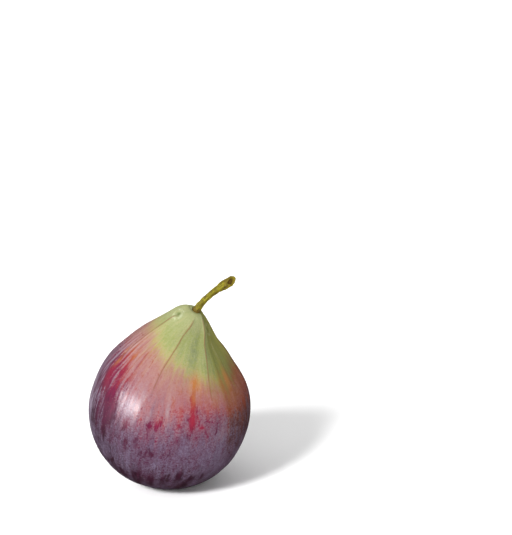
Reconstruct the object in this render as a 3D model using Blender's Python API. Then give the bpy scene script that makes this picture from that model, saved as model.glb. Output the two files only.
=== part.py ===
"""A fresh fig as picked, resting on its round belly with the stalk leaning to the right.

Three solids: the fruit with its ribbed neck, the short woody stalk that stands in a socket at
the neck's tip, and the rosette of small scales that closes the eye under the fruit.

World frame: metres, +Z up, -Y towards the viewer, origin at the centre of the small flat spot
that the fruit rests on. Each solid is modelled in the fig's own frame, whose +Z runs from the
eye to the stalk and whose origin is the belly's centre, and one empty leans that frame over.
Angles round the fig start at its front, -Y, and grow towards its right, +X.
"""

import math

import bmesh
import bpy
from mathutils import Matrix, Vector

MM = 0.001
FULL_TURN = 2.0 * math.pi

# Driving dimensions of the fruit. Its neck is a cone that leaves the shoulder's sphere at a tangent
BELLY_RADIUS = 26.5 * MM
SHOULDER_RADIUS = 27.2 * MM
NECK_HALF_ANGLE = math.radians(40.0)
TIP_HEIGHT = 39.0 * MM  # of the neck's tip above the belly's centre, along the fig's axis
REST_SPOT_RADIUS = 3.7 * MM
LEAN_RIGHT = math.radians(11.5)
LEAN_FORWARD = math.radians(9.0)

# Driving dimensions of the stalk. Its foot is in the fig's frame
STALK_FOOT = Vector((2.1 * MM, -0.3 * MM, TIP_HEIGHT - 0.9 * MM))
STALK_LENGTH = 15.6 * MM
STALK_RADIUS = 1.03 * MM
STALK_ROOT = 2.6 * MM  # how deep it stands in the neck
STALK_START_SLOPE = math.radians(58.0)  # above the horizontal, to the right
STALK_END_SLOPE = math.radians(31.0)
STALK_FORWARD = math.radians(8.0)

# Driving dimensions of the eye
EYE_RADIUS = 2.1 * MM
EYE_DEPTH = 1.6 * MM

FIT_GAP = 0.3 * MM  # between each solid and the pit or socket that holds it


def smooth_step(low, high, value):
    """0 below low, 1 above high, and a smooth S between them."""
    share = min(1.0, max(0.0, (value - low) / (high - low)))
    return share * share * (3.0 - 2.0 * share)


def bump(distance, reach):
    """A bell curve: 1 where the distance is 0, and about a third at its reach."""
    return math.exp(-((distance / reach) ** 2))


def turn_between(angle, other):
    """The angle from the other one to this one, the short way round."""
    return (angle - other + math.pi) % FULL_TURN - math.pi


def clear_scene():
    for obj in list(bpy.data.objects):
        bpy.data.objects.remove(obj)


def add_object(name, bm, parent=None):
    """Makes the bmesh an object, shaded smooth but for its sharp edges."""
    bmesh.ops.recalc_face_normals(bm, faces=bm.faces)
    mesh = bpy.data.meshes.new(name)
    bm.to_mesh(mesh)
    bm.free()
    mesh.shade_smooth()
    mesh.set_sharp_from_angle(angle=math.radians(40.0))
    obj = bpy.data.objects.new(name, mesh)
    obj.parent = parent
    bpy.context.scene.collection.objects.link(obj)
    return obj


def paint(obj, name, colour, roughness):
    made = bpy.data.materials.new(name)
    made.use_nodes = True
    shader = made.node_tree.nodes["Principled BSDF"]
    shader.inputs["Base Color"].default_value = (*colour, 1.0)
    shader.inputs["Roughness"].default_value = roughness
    shader.inputs["Metallic"].default_value = 0.0
    obj.data.materials.append(made)


def cut(obj, cutter):
    cutter.hide_render = True
    cutter.display_type = "WIRE"
    modifier = obj.modifiers.new(cutter.name, "BOOLEAN")
    modifier.operation = "DIFFERENCE"
    modifier.solver = "EXACT"
    modifier.object = cutter


# The fruit

FRUIT_AROUND = 80
EYE_LIP = 0.35 * MM

# Four ribs face the viewer, and the others are spread over the rest of the turn
FRONT_RIBS = (-66.5, -17.5, 35.0, 92.0)
BACK_RIB_COUNT = 2
RIB_HEIGHT = 0.75 * MM
RIB_GROOVE = 0.3  # share of the rib's height that the skin between ribs lies lower
RIB_HALF_WIDTH = math.radians(9.0)
RIBS_START = -14.0 * MM
RIBS_FULL = 14.0 * MM
RIB_CROWDING = 11.0 * MM  # ribs are lower where the neck's radius is under this

# On the neck the ribs run to the stalk's foot, to the right of the fig's axis, with a twist at the tip
FOCUS_START = 11.0 * MM
FOCUS_FULL = 35.0 * MM
TWIST = math.radians(16.0)
TWIST_START = 31.5 * MM
TWIST_FULL = 38.5 * MM

# The neck leans back against the fig's lean, so it is full on the left and hollow on the right
NECK_BEND = 1.55 * MM
NECK_BEND_HEIGHT = 25.5 * MM
NECK_BEND_REACH = 9.0 * MM

# The neck is fuller on its right flank, under the bend
FLANK_RISE = 0.8 * MM
FLANK_ANGLE = math.radians(100.0)
FLANK_HALF_WIDTH = math.radians(35.0)
FLANK_HEIGHT = 23.5 * MM
FLANK_REACH = 4.5 * MM

# The fruit is slightly flatter from front to back
CHEEK_DEPTH = 0.25 * MM
CHEEK_ANGLE = math.radians(10.0)
CHEEK_START = 5.0 * MM
CHEEK_FULL = 11.0 * MM

# Three dents near the tip, where the bracts under the fruit's neck fell off
SCAR_ANGLES = (math.radians(-61.0), math.radians(76.0), math.radians(188.0))
SCAR_DISTANCE = 5.8 * MM
SCAR_RADIUS = 0.9 * MM
SCAR_DEPTH = 0.4 * MM


def rib_angles():
    """Six ribs: those at the front, then the others, evenly spaced."""
    first = FRONT_RIBS[-1]
    step = (FRONT_RIBS[0] + 360.0 - first) / (BACK_RIB_COUNT + 1)
    back = [first + step * i for i in range(1, BACK_RIB_COUNT + 1)]
    return [math.radians(degrees) for degrees in (*FRONT_RIBS, *back)]


def belly_radius(turn):
    """Distance of the skin from the belly's centre, at a turn from the eye: fuller at the shoulder."""
    fuller = smooth_step(math.radians(98.0), math.radians(128.0), turn)
    return BELLY_RADIUS + (SHOULDER_RADIUS - BELLY_RADIUS) * fuller


def pit_points(lip_turn):
    """The eye's pit: a flat floor, a straight wall and a rounded lip."""
    pit_radius = EYE_RADIUS + FIT_GAP
    floor = EYE_DEPTH - BELLY_RADIUS
    lip_height = -BELLY_RADIUS * math.cos(lip_turn)
    return [
        (0.0, floor),
        (pit_radius * 0.6, floor),
        (pit_radius, floor),
        (pit_radius, lip_height + EYE_LIP),
        (pit_radius + 0.3 * EYE_LIP, lip_height + 0.25 * EYE_LIP),
    ]


def belly_points(lip_turn, neck_turn, steps=32):
    """The belly's arc from the eye's lip to the neck, with closer points near the eye."""
    points = []
    for i in range(steps + 1):
        turn = lip_turn + (neck_turn - lip_turn) * (i / steps) ** 1.15
        reach = belly_radius(turn)
        points.append((reach * math.sin(turn), -reach * math.cos(turn)))
    return points


def neck_points(start, dome_radius, steps=11):
    """The neck's cone up to the dome, with closer points near the dome."""
    edge_radius = dome_radius * math.cos(NECK_HALF_ANGLE)
    edge_height = TIP_HEIGHT - dome_radius * (1.0 - math.sin(NECK_HALF_ANGLE))
    points = []
    for i in range(1, steps):
        share = 1.0 - (1.0 - i / steps) ** 1.2
        radius = start[0] + (edge_radius - start[0]) * share
        points.append((radius, start[1] + (edge_height - start[1]) * share))
    return points


def dome_points(dome_radius, steps=7):
    """The tip's dome, which the cone meets at a tangent, up to the pole."""
    centre = TIP_HEIGHT - dome_radius
    points = []
    for i in range(steps):
        turn = NECK_HALF_ANGLE + (math.pi / 2.0 - NECK_HALF_ANGLE) * i / steps
        points.append((dome_radius * math.cos(turn), centre + dome_radius * math.sin(turn)))
    return points + [(0.0, TIP_HEIGHT)]


def fruit_profile():
    """(radius, height) from the eye's pit, round the belly, up the neck and over its tip."""
    lip_turn = math.asin((EYE_RADIUS + FIT_GAP + EYE_LIP) / BELLY_RADIUS)
    belly = belly_points(lip_turn, math.pi / 2.0 + NECK_HALF_ANGLE)
    apex_height = SHOULDER_RADIUS / math.sin(NECK_HALF_ANGLE)
    dome_radius = (apex_height - TIP_HEIGHT) / (1.0 / math.sin(NECK_HALF_ANGLE) - 1.0)
    return pit_points(lip_turn) + belly + neck_points(belly[-1], dome_radius) + dome_points(dome_radius)


def spin_profile(profile):
    """Turns (radius, height) points round the fig's axis. Points on the axis become poles."""
    bm = bmesh.new()
    verts = [bm.verts.new((0.0, -radius, height)) for radius, height in profile]
    edges = [bm.edges.new(pair) for pair in zip(verts, verts[1:])]
    bmesh.ops.spin(
        bm,
        geom=verts + edges,
        cent=(0.0, 0.0, 0.0),
        axis=(0.0, 0.0, 1.0),
        angle=FULL_TURN,
        steps=FRUIT_AROUND,
    )
    bmesh.ops.remove_doubles(bm, verts=bm.verts, dist=0.004 * MM)
    bmesh.ops.recalc_face_normals(bm, faces=bm.faces)
    bm.normal_update()
    return bm


def ridge(distance, half_width):
    """A rib's section: 1 at its crest, half at its half width, with long soft flanks."""
    return 1.0 / (1.0 + (distance / half_width) ** 2)


def neck_bend(height):
    """How far to the left of its cone the neck stands at a height."""
    return NECK_BEND * bump(height - NECK_BEND_HEIGHT, NECK_BEND_REACH)


def rib_turn(place):
    """The angle round the ribs' centre, which runs from the fig's axis to the stalk's foot."""
    share = smooth_step(FOCUS_START, FOCUS_FULL, place.z)
    across = place.x - share * (STALK_FOOT.x + neck_bend(place.z))
    along = place.y - share * STALK_FOOT.y
    return math.atan2(across, -along) - TWIST * smooth_step(TWIST_START, TWIST_FULL, place.z)


def rib_relief(place, ribs):
    angle = rib_turn(place)
    below_tip = 1.0 - smooth_step(TIP_HEIGHT - 4.0 * MM, TIP_HEIGHT - 0.5 * MM, place.z)
    room = min(1.0, math.hypot(place.x, place.y) / RIB_CROWDING)
    strength = smooth_step(RIBS_START, RIBS_FULL, place.z) * below_tip * room
    ridges = sum(ridge(turn_between(angle, rib), RIB_HALF_WIDTH) for rib in ribs)
    return RIB_HEIGHT * strength * (ridges - RIB_GROOVE)


def cheek_relief(place):
    """The belly is flatter at the front and back than at the sides, but round near the eye."""
    radius = math.hypot(place.x, place.y)
    share = smooth_step(CHEEK_START, CHEEK_FULL, radius) if place.z < 0.0 else 1.0
    return -CHEEK_DEPTH * share * math.cos(2.0 * (math.atan2(place.x, -place.y) - CHEEK_ANGLE))


def flank_relief(place):
    around = turn_between(math.atan2(place.x, -place.y), FLANK_ANGLE)
    return FLANK_RISE * bump(around, FLANK_HALF_WIDTH) * bump(place.z - FLANK_HEIGHT, FLANK_REACH)


def scar_relief(place):
    """The dents, round the stalk's foot on the neck's tip."""
    if place.z < 0.0:
        return 0.0
    raised = 0.0
    for turn in SCAR_ANGLES:
        across = place.x - STALK_FOOT.x - SCAR_DISTANCE * math.sin(turn)
        along = place.y - STALK_FOOT.y + SCAR_DISTANCE * math.cos(turn)
        raised -= SCAR_DEPTH * bump(math.hypot(across, along), SCAR_RADIUS)
    return raised


def make_fruit(parent):
    ribs = rib_angles()
    bm = spin_profile(fruit_profile())
    moved = []
    for vert in bm.verts:
        raised = rib_relief(vert.co, ribs) + cheek_relief(vert.co)
        raised += flank_relief(vert.co) + scar_relief(vert.co)
        moved.append(vert.co + vert.normal * raised - Vector((neck_bend(vert.co.z), 0.0, 0.0)))
    for vert, place in zip(bm.verts, moved):
        vert.co = place
    fruit = add_object("fruit", bm, parent)
    paint(fruit, "fig_skin", (0.24, 0.10, 0.15), 0.42)
    return fruit


def make_surface_cutter():
    """A block whose top is the surface. It leaves the flat spot that the fruit rests on."""
    side = 40.0 * MM
    depth = 10.0 * MM
    bm = bmesh.new()
    bmesh.ops.create_cube(bm, size=1.0, matrix=Matrix.Diagonal((side, side, depth, 1.0)))
    bmesh.ops.translate(bm, verts=bm.verts, vec=(0.0, 0.0, -depth / 2.0))
    return add_object("surface_cutter", bm)


# The stalk

STALK_AROUND = 20
STALK_RINGS = 30
ROOT_SWELL = 1.2
# Share of the length, and the radius there as a multiple of STALK_RADIUS
STALK_SWELL = ((0.0, 1.2), (0.1, 1.15), (0.25, 1.0), (0.45, 0.97), (0.62, 1.08), (0.85, 1.55), (1.0, 1.5))
STALK_RIDGES = 5
STALK_RIDGE_SHARE = 0.04

# The picker's cut is slanted, with a raised rim round a shallow hollow
CUT_START = 0.78
CUT_SLANT_FORWARD = 1.0
CUT_SLANT_UNDER = 0.2
CUT_RIM = 0.4 * MM
CUT_HOLLOW_SIDE = 0.3 * MM
CUT_HOLLOW = 0.35 * MM


def stalk_radius(share):
    """The stalk's radius at a share of its length, smooth between the stations of STALK_SWELL."""
    for (low, first), (high, second) in zip(STALK_SWELL, STALK_SWELL[1:]):
        if share <= high:
            return STALK_RADIUS * (first + (second - first) * smooth_step(low, high, share))
    return STALK_RADIUS * STALK_SWELL[-1][1]


def stalk_heading(share):
    """The stalk's direction in the world, at a share of its length: steep first, then leaning out."""
    left = 1.0 - min(1.0, share)
    slope = STALK_END_SLOPE + (STALK_START_SLOPE - STALK_END_SLOPE) * left**1.5
    level = math.cos(slope)
    return Vector((level * math.cos(STALK_FORWARD), -level * math.sin(STALK_FORWARD), math.sin(slope)))


def stalk_stations():
    """(centre from the foot, heading, radius, ridge share, slant share) of each ring, root first."""
    start = stalk_heading(0.0)
    root_radius = STALK_RADIUS * ROOT_SWELL
    stations = [(-start * depth, start, root_radius, 0.0, 0.0) for depth in (STALK_ROOT, STALK_ROOT * 0.2)]
    centre = Vector((0.0, 0.0, 0.0))
    for i in range(STALK_RINGS + 1):
        share = i / STALK_RINGS
        slant = smooth_step(CUT_START, 1.0, share)
        stations.append((centre.copy(), stalk_heading(share), stalk_radius(share), STALK_RIDGE_SHARE, slant))
        centre += stalk_heading(share + 0.5 / STALK_RINGS) * STALK_LENGTH / STALK_RINGS
    return stations


def stalk_ring(bm, station, to_fig):
    """One ring of points. Those of the cut end slant back on the viewer's side and a little below."""
    centre, heading, radius, ridge_share, slant_share = station
    front = Vector((0.0, -1.0, 0.0))
    under = heading.cross(front)
    ring = []
    for j in range(STALK_AROUND):
        turn = FULL_TURN * j / STALK_AROUND
        ridged = radius * (1.0 + ridge_share * math.cos(STALK_RIDGES * turn + 0.4))
        slant = CUT_SLANT_FORWARD * math.cos(turn) + CUT_SLANT_UNDER * math.sin(turn)
        reach = (front * math.cos(turn) + under * math.sin(turn)) * ridged
        place = centre + reach - heading * radius * slant_share * slant
        ring.append(bm.verts.new(STALK_FOOT + to_fig @ place))
    return ring


def make_stalk(parent, to_fig):
    bm = bmesh.new()
    rings = [stalk_ring(bm, station, to_fig) for station in stalk_stations()]
    for low, high in zip(rings, rings[1:]):
        for j in range(STALK_AROUND):
            k = (j + 1) % STALK_AROUND
            bm.faces.new((low[j], low[k], high[k], high[j]))
    bm.faces.new(list(reversed(rings[0])))
    cut_face = bm.faces.new(rings[-1])
    bm.normal_update()
    bmesh.ops.inset_region(bm, faces=[cut_face], thickness=CUT_RIM)
    bmesh.ops.inset_region(bm, faces=[cut_face], thickness=CUT_HOLLOW_SIDE, depth=-CUT_HOLLOW)
    stalk = add_object("stalk", bm, parent)
    paint(stalk, "stalk_bark", (0.27, 0.22, 0.03), 0.6)
    return stalk


def make_socket_cutter(parent, to_fig):
    """The hole in the neck's tip that the stalk's root stands in, wider and deeper by the gap."""
    heading = to_fig @ stalk_heading(0.0)
    above = 4.0 * MM
    below = STALK_ROOT + FIT_GAP
    radius = STALK_RADIUS * ROOT_SWELL + FIT_GAP
    turn = Vector((0.0, 0.0, 1.0)).rotation_difference(heading).to_matrix().to_4x4()
    middle = STALK_FOOT + heading * (above - below) / 2.0
    bm = bmesh.new()
    bmesh.ops.create_cone(
        bm,
        cap_ends=True,
        segments=28,
        radius1=radius,
        radius2=radius,
        depth=above + below,
        matrix=Matrix.Translation(middle) @ turn,
    )
    return add_object("socket_cutter", bm, parent)


# The eye's scales

SCALES_AROUND = 48
SCALES_RINGS = 9
SCALES_INSET = 0.55 * MM  # of the rosette's lowest face above the belly's sphere
OUTER_SCALES = 6
INNER_SCALES = 4
INNER_WHORL = 0.52  # share of the radius
INNER_LIFT = 0.13 * MM
SCALE_TWIST = 0.9
SCALE_LAP = 0.12 * MM
SCALE_ARCH = 0.13 * MM


def whorl_height(along, turn, count):
    """One whorl, from its inner edge at 0 to its outer edge at 1: each scale arches and laps the next."""
    lap = ((turn + SCALE_TWIST * along) * count / FULL_TURN) % 1.0
    arch = 1.0 - (2.0 * lap - 1.0) ** 4
    return (SCALE_LAP * (1.0 - lap) + SCALE_ARCH * arch) * (0.35 + 0.65 * along)


def rosette_height(share, turn):
    """The rosette's relief at a share of its radius: an inner whorl that stands on an outer one."""
    if share <= INNER_WHORL:
        return INNER_LIFT + whorl_height(share / INNER_WHORL, turn, INNER_SCALES)
    return whorl_height((share - INNER_WHORL) / (1.0 - INNER_WHORL), turn, OUTER_SCALES)


def make_eye_scales(parent):
    """A thin round plug with a rosette on its outer face, which points down. It fills the eye's pit."""
    face_level = SCALES_INSET - BELLY_RADIUS
    back_level = EYE_DEPTH - BELLY_RADIUS - FIT_GAP
    bm = bmesh.new()
    centre = bm.verts.new((0.0, 0.0, face_level - INNER_LIFT))
    loops = []
    for i in range(1, SCALES_RINGS + 1):
        share = i / SCALES_RINGS
        loop = []
        for j in range(SCALES_AROUND):
            turn = FULL_TURN * j / SCALES_AROUND
            across = EYE_RADIUS * share
            height = face_level - (0.0 if i == SCALES_RINGS else rosette_height(share, turn))
            loop.append(bm.verts.new((across * math.sin(turn), -across * math.cos(turn), height)))
        loops.append(loop)
    loops.append([bm.verts.new((vert.co.x, vert.co.y, back_level)) for vert in loops[-1]])
    for j in range(SCALES_AROUND):
        k = (j + 1) % SCALES_AROUND
        bm.faces.new((centre, loops[0][j], loops[0][k]))
        for low, high in zip(loops, loops[1:]):
            bm.faces.new((low[j], high[j], high[k], low[k]))
    bm.faces.new(loops[-1])
    scales = add_object("eye_scales", bm, parent)
    paint(scales, "eye_scale", (0.30, 0.12, 0.09), 0.6)
    return scales


def main():
    clear_scene()
    lean = Matrix.Rotation(LEAN_RIGHT, 4, "Y") @ Matrix.Rotation(LEAN_FORWARD, 4, "X")
    to_fig = lean.to_3x3().inverted()
    centre_height = math.sqrt(BELLY_RADIUS**2 - REST_SPOT_RADIUS**2)
    axis = bpy.data.objects.new("fig_axis", None)
    axis.matrix_world = Matrix.Translation((0.0, 0.0, centre_height)) @ lean
    bpy.context.scene.collection.objects.link(axis)
    fruit = make_fruit(axis)
    cut(fruit, make_socket_cutter(axis, to_fig))
    cut(fruit, make_surface_cutter())
    make_stalk(axis, to_fig)
    make_eye_scales(axis)


main()
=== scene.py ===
"""A fresh fig as picked: its ribbed and rippled skin, its woody stalk and the scales of its eye.

Lengths are millimetres until a mesh is made. Each shape is worked out in the fig's own frame,
whose +Z runs from the eye to the stalk and whose origin is the belly's centre, and is then
leaned over and raised onto the floor. Angles round the fig start at its front, -Y, and grow
towards its right, +X.
"""

import math

import bpy
import numpy as np
from mathutils import Matrix


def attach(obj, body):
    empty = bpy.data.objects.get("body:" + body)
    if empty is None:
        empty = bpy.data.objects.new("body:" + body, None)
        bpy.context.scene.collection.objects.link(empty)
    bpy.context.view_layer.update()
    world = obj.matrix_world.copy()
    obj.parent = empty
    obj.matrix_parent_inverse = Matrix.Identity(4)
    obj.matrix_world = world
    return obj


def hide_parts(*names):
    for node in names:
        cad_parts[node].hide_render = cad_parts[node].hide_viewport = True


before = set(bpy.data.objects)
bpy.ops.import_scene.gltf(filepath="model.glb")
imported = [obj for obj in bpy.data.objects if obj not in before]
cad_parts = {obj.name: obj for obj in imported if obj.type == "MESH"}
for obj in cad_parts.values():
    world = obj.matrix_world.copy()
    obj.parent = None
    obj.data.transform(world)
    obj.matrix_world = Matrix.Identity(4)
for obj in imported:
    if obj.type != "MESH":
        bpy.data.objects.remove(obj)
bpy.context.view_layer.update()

MM = 0.001
FULL_TURN = 2.0 * math.pi

# The fruit's size, as in its solids
BELLY_RADIUS = 26.5
SHOULDER_RADIUS = 27.2
NECK_HALF_ANGLE = math.radians(40.0)
TIP_HEIGHT = 39.0
REST_SPOT_RADIUS = 3.7
LEAN_RIGHT = math.radians(11.5)
LEAN_FORWARD = math.radians(9.0)
CENTRE_HEIGHT = math.sqrt(BELLY_RADIUS**2 - REST_SPOT_RADIUS**2)
APEX_HEIGHT = SHOULDER_RADIUS / math.sin(NECK_HALF_ANGLE)
DOME_RADIUS = (APEX_HEIGHT - TIP_HEIGHT) / (1.0 / math.sin(NECK_HALF_ANGLE) - 1.0)
EYE_RADIUS = 2.1
EYE_DEPTH = 1.6
STALK_FOOT = np.array((2.1, -0.3, TIP_HEIGHT - 0.9))


def smooth(low, high, value):
    """0 below low, 1 above high, and a smooth S between them."""
    share = np.clip((value - low) / (high - low), 0.0, 1.0)
    return share * share * (3.0 - 2.0 * share)


def steps(value, rows):
    """Sum of smooth steps. A row holds a step's rise, and the values where it starts and is full."""
    return sum(rise * smooth(start, full, value) for rise, start, full in rows)


def between(value, start, full, ending, gone):
    """0 before the start, 1 from full to the ending, 0 when gone, and a smooth S on each side."""
    return smooth(start, full, value) * (1.0 - smooth(ending, gone, value))


def bell(distance, reach):
    """A bell curve: 1 where the distance is 0, and about a third at its reach."""
    return np.exp(-((distance / reach) ** 2))


def turn_between(angle, other):
    """The angle in radians from the other one to this one, the short way round."""
    return (angle - other + math.pi) % FULL_TURN - math.pi


def lean_matrix():
    """First forward about X, then to the right about Y."""
    right = np.array(Matrix.Rotation(LEAN_RIGHT, 3, "Y"))
    forward = np.array(Matrix.Rotation(LEAN_FORWARD, 3, "X"))
    return right @ forward


LEAN = lean_matrix()


def stand_up(points):
    """Leans points of the fig's frame over and raises them into the world's frame, still in mm."""
    return points @ LEAN.T + (0.0, 0.0, CENTRE_HEIGHT)


# Meshes


def grid_faces(rows, columns):
    """Quads of a tube of closed rows, with a pole below the first row and one above the last."""
    across = np.arange(columns)
    following = (across + 1) % columns
    start = (np.arange(rows - 1) * columns)[:, None]
    above = start + columns
    quads = np.stack((start + across, start + following, above + following, above + across), -1)
    first_pole = rows * columns
    last = (rows - 1) * columns
    low_fan = np.stack((following, across, np.full(columns, first_pole)), -1)
    high_fan = np.stack((last + across, last + following, np.full(columns, first_pole + 1)), -1)
    return quads.reshape(-1, 4).tolist() + low_fan.tolist() + high_fan.tolist()


def with_poles(field):
    """A field's values row by row, then those of the two poles: the means of the end rows."""
    flat = field.reshape(-1, *field.shape[2:])
    ends = np.stack((field[0].mean(axis=0), field[-1].mean(axis=0)))
    return np.concatenate((flat, ends))


def tube_object(name, points, fields, finish):
    """Makes rows of world points in mm a closed mesh with the fields as attributes, shaded smooth."""
    rows, columns = points.shape[:2]
    mesh = bpy.data.meshes.new(name)
    mesh.from_pydata((with_poles(points) * MM).tolist(), [], grid_faces(rows, columns))
    for label, field in fields.items():
        vector = field.ndim == 3
        kept = mesh.attributes.new(label, "FLOAT_VECTOR" if vector else "FLOAT", "POINT")
        values = with_poles(field).astype(np.float32).ravel()
        kept.data.foreach_set("vector" if vector else "value", values)
    mesh.shade_smooth()
    mesh.materials.append(finish)
    made = bpy.data.objects.new(name, mesh)
    bpy.context.scene.collection.objects.link(made)
    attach(made, "root")
    return made


# Materials


class Finish:
    """A material under construction. Each method adds a node and returns its output."""

    def __init__(self, name):
        self.material = bpy.data.materials.new(name)
        self.material.use_nodes = True
        self.nodes = self.material.node_tree.nodes
        self.links = self.material.node_tree.links
        self.nodes.clear()
        self.shader = self.nodes.new("ShaderNodeBsdfPrincipled")
        output = self.nodes.new("ShaderNodeOutputMaterial")
        self.links.new(self.shader.outputs[0], output.inputs["Surface"])

    def put(self, value, socket):
        """Links an output to the socket, or sets the socket to a plain value."""
        if isinstance(value, bpy.types.NodeSocket):
            self.links.new(value, socket)
        elif value is not None:
            socket.default_value = value

    def field(self, name, output="Fac"):
        node = self.nodes.new("ShaderNodeAttribute")
        node.attribute_name = name
        return node.outputs[output]

    def place(self):
        return self.nodes.new("ShaderNodeTexCoord").outputs["Object"]

    def stretch(self, vector, scale):
        node = self.nodes.new("ShaderNodeMapping")
        self.put(vector, node.inputs["Vector"])
        node.inputs["Scale"].default_value = scale
        return node.outputs[0]

    def noise(self, vector, scale, detail=3.0, roughness=0.5, distortion=0.0):
        node = self.nodes.new("ShaderNodeTexNoise")
        self.put(vector, node.inputs["Vector"])
        node.inputs["Scale"].default_value = scale
        node.inputs["Detail"].default_value = detail
        node.inputs["Roughness"].default_value = roughness
        node.inputs["Distortion"].default_value = distortion
        return node.outputs["Fac"]

    def drawn(self, flow, pattern):
        """Noise drawn out along the skin, from its waves per mm, detail, roughness and distortion."""
        scale, detail, roughness, distortion = pattern
        return self.noise(self.stretch(flow, scale), 1.0, detail, roughness, distortion)

    def cells(self, vector, scale):
        node = self.nodes.new("ShaderNodeTexVoronoi")
        self.put(vector, node.inputs["Vector"])
        node.inputs["Scale"].default_value = scale
        return node.outputs["Distance"]

    def maths(self, operation, first, second, third=None, clamp=False):
        node = self.nodes.new("ShaderNodeMath")
        node.operation = operation
        node.use_clamp = clamp
        for value, socket in zip((first, second, third), node.inputs):
            self.put(value, socket)
        return node.outputs[0]

    def weighted(self, start, *terms):
        """The start plus each (value, weight) term."""
        total = start
        for value, weight in terms:
            total = self.maths("MULTIPLY_ADD", value, weight, total)
        return total

    def spread(self, value, low, high, start=0.0, end=1.0):
        """start where the value is low, end where it is high, and a smooth S between."""
        node = self.nodes.new("ShaderNodeMapRange")
        node.interpolation_type = "SMOOTHSTEP"
        self.put(value, node.inputs["Value"])
        for label, number in zip(("From Min", "From Max", "To Min", "To Max"), (low, high, start, end)):
            node.inputs[label].default_value = number
        return node.outputs[0]

    def ramp(self, value, stops):
        node = self.nodes.new("ShaderNodeValToRGB")
        self.put(value, node.inputs[0])
        elements = node.color_ramp.elements
        elements.remove(elements[-1])
        elements[0].position = stops[0][0]
        elements[0].color = (*stops[0][1], 1.0)
        for position, colour in stops[1:]:
            elements.new(position).color = (*colour, 1.0)
        return node.outputs[0]

    def mix(self, factor, first, second):
        node = self.nodes.new("ShaderNodeMix")
        node.data_type = "RGBA"
        self.put(factor, node.inputs["Factor"])
        for value, label in ((first, "A"), (second, "B")):
            socket = [each for each in node.inputs if each.name == label and each.type == "RGBA"][0]
            self.put((*value, 1.0) if isinstance(value, tuple) else value, socket)
        return [each for each in node.outputs if each.type == "RGBA"][0]

    def bump(self, height, depth, strength=1.0, under=None):
        """Relief of the shading alone, for what is finer than the mesh. The depth is in metres."""
        node = self.nodes.new("ShaderNodeBump")
        self.put(height, node.inputs["Height"])
        node.inputs["Distance"].default_value = depth
        node.inputs["Strength"].default_value = strength
        self.put(under, node.inputs["Normal"])
        return node.outputs[0]

    def surface(self, colour, roughness, normal=None, *, specular):
        self.put(colour, self.shader.inputs["Base Color"])
        self.put(roughness, self.shader.inputs["Roughness"])
        self.put(normal, self.shader.inputs["Normal"])
        self.shader.inputs["Specular IOR Level"].default_value = specular
        return self.material


# The skin's grid

COLUMNS = 352
ROW_STEP = 0.348  # along the profile
SOCKET_RADIUS = 1.33
SOCKET_DEPTHS = (0.25, 0.6, 1.2, 2.0)
SOCKET_TAPER = 0.98

# The belly is fuller at the shoulder, between these angles up from its lowest point
SHOULDER_START = math.radians(98.0)
SHOULDER_FULL = math.radians(128.0)

# The neck leans back against the fig's lean
NECK_BEND = 1.55
NECK_BEND_HEIGHT = 25.5
NECK_BEND_REACH = 9.0

# The eye's pit: how far out from its radius points lie, and how far up from its floor or its lip
PIT_RADIUS = 2.12
PIT_LIP = 0.55
PIT_FLOOR = ((-1.06, 0.0), (-0.0848, 0.0), (0.0, 0.1))
PIT_WALL = ((0.0, 0.62), (0.05, 0.4), (0.18, 0.18), (0.36, 0.05))

# Above this height the rows' centres move from the fig's axis to the stalk's foot, where columns meet
FOCUS_START = 11.0
FOCUS_FULL = 35.0
TWIST = math.radians(16.0)
TWIST_START = 31.5
TWIST_FULL = 38.5

# From this height up, the profile only narrows
NARROWING = 5.0

# How smoothly the skin flattens onto the floor
REST_BLEND = 0.06


def body_profile(turn_start):
    """(radius, height) from the eye's lip: the belly's arc, the cone on its tangent, the tip's dome."""
    turn = np.linspace(turn_start, math.pi / 2.0 + NECK_HALF_ANGLE, 1600)
    fuller = smooth(SHOULDER_START, SHOULDER_FULL, turn)
    reach = BELLY_RADIUS + (SHOULDER_RADIUS - BELLY_RADIUS) * fuller
    arc = np.stack((reach * np.sin(turn), -reach * np.cos(turn)), -1)
    edge = (
        DOME_RADIUS * math.cos(NECK_HALF_ANGLE),
        TIP_HEIGHT - DOME_RADIUS * (1.0 - math.sin(NECK_HALF_ANGLE)),
    )
    cone = np.linspace(arc[-1], edge, 500)[1:]
    over = np.linspace(NECK_HALF_ANGLE, math.pi / 2.0, 300)[1:]
    dome = np.stack((DOME_RADIUS * np.cos(over), TIP_HEIGHT - DOME_RADIUS * (1.0 - np.sin(over))), -1)
    return np.concatenate((arc, cone, dome))


def walk(profile):
    """Distance along the profile to each of its points."""
    lengths = np.hypot(*np.diff(profile, axis=0).T)
    return np.concatenate(([0.0], np.cumsum(lengths)))


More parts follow.
